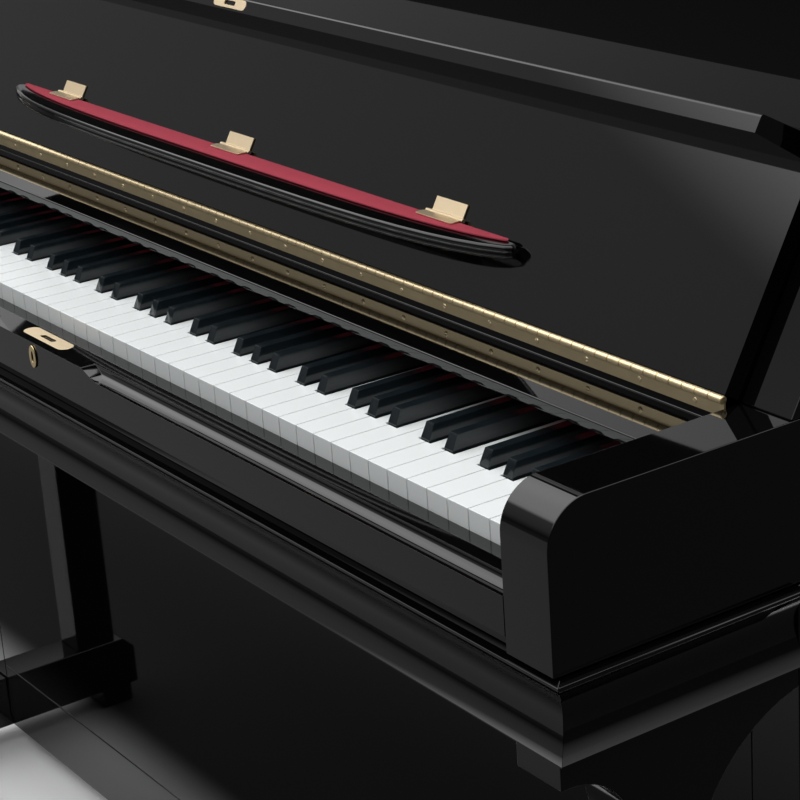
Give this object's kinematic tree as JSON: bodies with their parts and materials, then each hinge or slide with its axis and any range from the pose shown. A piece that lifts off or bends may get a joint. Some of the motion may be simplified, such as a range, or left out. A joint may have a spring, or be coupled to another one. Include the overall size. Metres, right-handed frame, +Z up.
{
  "type": "upright piano",
  "caption": "Upright piano in polished black with its fallboard open, a folding felted music shelf in it, keys, pedals and lid that move, and square legs under the keybed.",
  "frame": {"origin": "middle of the bounding box's base, on the floor", "axes": "+Z up, -Y towards the player, +X towards the treble end"},
  "size_m": [1.43, 0.613, 1.3],
  "materials": {
    "ebony_polish": "high-gloss black polish",
    "ivory_white": "polished white key covering",
    "sharp_black": "satin black key covering",
    "polished_brass": "polished",
    "red_felt": "pressed felt",
    "natural_spruce": "clear satin",
    "bronzed_iron": "bronze lacquer",
    "string_steel": "drawn wire"
  },
  "bodies": {
    "case": {"action": "natural_spruce", "arm_bass": "ebony_polish", "arm_treble": "ebony_polish", "back_frame": "natural_spruce", "black_keys_bass": "sharp_black", "black_keys_treble": "sharp_black", "bottom_rail": "ebony_polish", "fallboard_hinge": "polished_brass", "iron_plate": "bronzed_iron", "key_block_bass": "ebony_polish", "key_block_treble": "ebony_polish", "key_frame": "natural_spruce", "key_slip": "ebony_polish", "keybed": "ebony_polish", "keybed_moulding_bass": "ebony_polish", "keybed_moulding_front": "ebony_polish", "keybed_moulding_treble": "ebony_polish", "leg_bass": "ebony_polish", "leg_treble": "ebony_polish", "lid_rear_rail": "ebony_polish", "lock_escutcheon": "polished_brass", "lock_plate": "polished_brass", "lower_panel": "ebony_polish", "name_felt": "red_felt", "name_rail": "ebony_polish", "side_panel_bass": "ebony_polish", "side_panel_treble": "ebony_polish", "soundboard": "natural_spruce", "strings": "string_steel", "toe_bass": "ebony_polish", "toe_treble": "ebony_polish", "upper_panel": "ebony_polish", "white_keys_bass": "ivory_white", "white_keys_treble": "ivory_white"},
    "fallboard": {"fallboard": "ebony_polish", "lock_strike": "polished_brass", "shelf_hinge_1": "polished_brass", "shelf_hinge_2": "polished_brass", "shelf_hinge_3": "polished_brass"},
    "music_shelf": {"music_shelf": "ebony_polish", "shelf_felt": "red_felt", "shelf_leaf_1": "polished_brass", "shelf_leaf_2": "polished_brass", "shelf_leaf_3": "polished_brass"},
    "lid": {"lid": "ebony_polish"},
    "pedal_soft": {"pedal_soft": "polished_brass"},
    "pedal_practice": {"pedal_practice": "polished_brass"},
    "pedal_sustain": {"pedal_sustain": "polished_brass"},
    "key_c4": {"key_c4": "ivory_white"},
    "key_c4_sharp": {"key_c4_sharp": "sharp_black"},
    "key_d4": {"key_d4": "ivory_white"},
    "key_d4_sharp": {"key_d4_sharp": "sharp_black"},
    "key_e4": {"key_e4": "ivory_white"},
    "key_f4": {"key_f4": "ivory_white"},
    "key_f4_sharp": {"key_f4_sharp": "sharp_black"},
    "key_g4": {"key_g4": "ivory_white"},
    "key_g4_sharp": {"key_g4_sharp": "sharp_black"},
    "key_a4": {"key_a4": "ivory_white"},
    "key_a4_sharp": {"key_a4_sharp": "sharp_black"},
    "key_b4": {"key_b4": "ivory_white"}
  },
  "joints": [
    {"name": "fallboard_hinge", "type": "hinge", "parent": "case", "child": "fallboard", "pos_m": [0, -0.1165, 0.795], "axis": [1, 0, 0], "range_deg": [0, 120]},
    {"name": "music_shelf_fold", "type": "hinge", "parent": "fallboard", "child": "music_shelf", "pos_m": [0, -0.09056, 0.84792], "axis": [1, 0, 0], "range_deg": [-120, 0]},
    {"name": "lid_hinge", "type": "hinge", "parent": "case", "child": "lid", "pos_m": [0, 0.2765, 1.3], "axis": [1, 0, 0], "range_deg": [-105, 0]},
    {"name": "pedal_soft_press", "type": "hinge", "parent": "case", "child": "pedal_soft", "pos_m": [-0.062, 0.0665, 0.0455], "axis": [1, 0, 0], "range_deg": [0, 5], "stiffness_Nm_per_rad": 40, "springref_deg": -2.86},
    {"name": "pedal_practice_press", "type": "hinge", "parent": "case", "child": "pedal_practice", "pos_m": [0, 0.0665, 0.0455], "axis": [1, 0, 0], "range_deg": [0, 5], "stiffness_Nm_per_rad": 40, "springref_deg": -2.86},
    {"name": "pedal_sustain_press", "type": "hinge", "parent": "case", "child": "pedal_sustain", "pos_m": [0.062, 0.0665, 0.0455], "axis": [1, 0, 0], "range_deg": [0, 5], "stiffness_Nm_per_rad": 40, "springref_deg": -2.86},
    {"name": "key_c4_press", "type": "hinge", "parent": "case", "child": "key_c4", "pos_m": [-0.05893, -0.0355, 0.715], "axis": [1, 0, 0], "range_deg": [0, 2.5], "stiffness_Nm_per_rad": 1.5, "springref_deg": -5.73},
    {"name": "key_c4_sharp_press", "type": "hinge", "parent": "case", "child": "key_c4_sharp", "pos_m": [-0.0495, -0.0355, 0.715], "axis": [1, 0, 0], "range_deg": [0, 2.5], "stiffness_Nm_per_rad": 1.5, "springref_deg": -5.73},
    {"name": "key_d4_press", "type": "hinge", "parent": "case", "child": "key_d4", "pos_m": [-0.03536, -0.0355, 0.715], "axis": [1, 0, 0], "range_deg": [0, 2.5], "stiffness_Nm_per_rad": 1.5, "springref_deg": -5.73},
    {"name": "key_d4_sharp_press", "type": "hinge", "parent": "case", "child": "key_d4_sharp", "pos_m": [-0.02121, -0.0355, 0.715], "axis": [1, 0, 0], "range_deg": [0, 2.5], "stiffness_Nm_per_rad": 1.5, "springref_deg": -5.73},
    {"name": "key_e4_press", "type": "hinge", "parent": "case", "child": "key_e4", "pos_m": [-0.01179, -0.0355, 0.715], "axis": [1, 0, 0], "range_deg": [0, 2.5], "stiffness_Nm_per_rad": 1.5, "springref_deg": -5.73},
    {"name": "key_f4_press", "type": "hinge", "parent": "case", "child": "key_f4", "pos_m": [0.01179, -0.0355, 0.715], "axis": [1, 0, 0], "range_deg": [0, 2.5], "stiffness_Nm_per_rad": 1.5, "springref_deg": -5.73},
    {"name": "key_f4_sharp_press", "type": "hinge", "parent": "case", "child": "key_f4_sharp", "pos_m": [0.0202, -0.0355, 0.715], "axis": [1, 0, 0], "range_deg": [0, 2.5], "stiffness_Nm_per_rad": 1.5, "springref_deg": -5.73},
    {"name": "key_g4_press", "type": "hinge", "parent": "case", "child": "key_g4", "pos_m": [0.03536, -0.0355, 0.715], "axis": [1, 0, 0], "range_deg": [0, 2.5], "stiffness_Nm_per_rad": 1.5, "springref_deg": -5.73},
    {"name": "key_g4_sharp_press", "type": "hinge", "parent": "case", "child": "key_g4_sharp", "pos_m": [0.04714, -0.0355, 0.715], "axis": [1, 0, 0], "range_deg": [0, 2.5], "stiffness_Nm_per_rad": 1.5, "springref_deg": -5.73},
    {"name": "key_a4_press", "type": "hinge", "parent": "case", "child": "key_a4", "pos_m": [0.05893, -0.0355, 0.715], "axis": [1, 0, 0], "range_deg": [0, 2.5], "stiffness_Nm_per_rad": 1.5, "springref_deg": -5.73},
    {"name": "key_a4_sharp_press", "type": "hinge", "parent": "case", "child": "key_a4_sharp", "pos_m": [0.07408, -0.0355, 0.715], "axis": [1, 0, 0], "range_deg": [0, 2.5], "stiffness_Nm_per_rad": 1.5, "springref_deg": -5.73},
    {"name": "key_b4_press", "type": "hinge", "parent": "case", "child": "key_b4", "pos_m": [0.0825, -0.0355, 0.715], "axis": [1, 0, 0], "range_deg": [0, 2.5], "stiffness_Nm_per_rad": 1.5, "springref_deg": -5.73}
  ],
  "couplings": [
    {"joint": "music_shelf_fold", "follows": "fallboard_hinge", "ratio": -1}
  ]
}
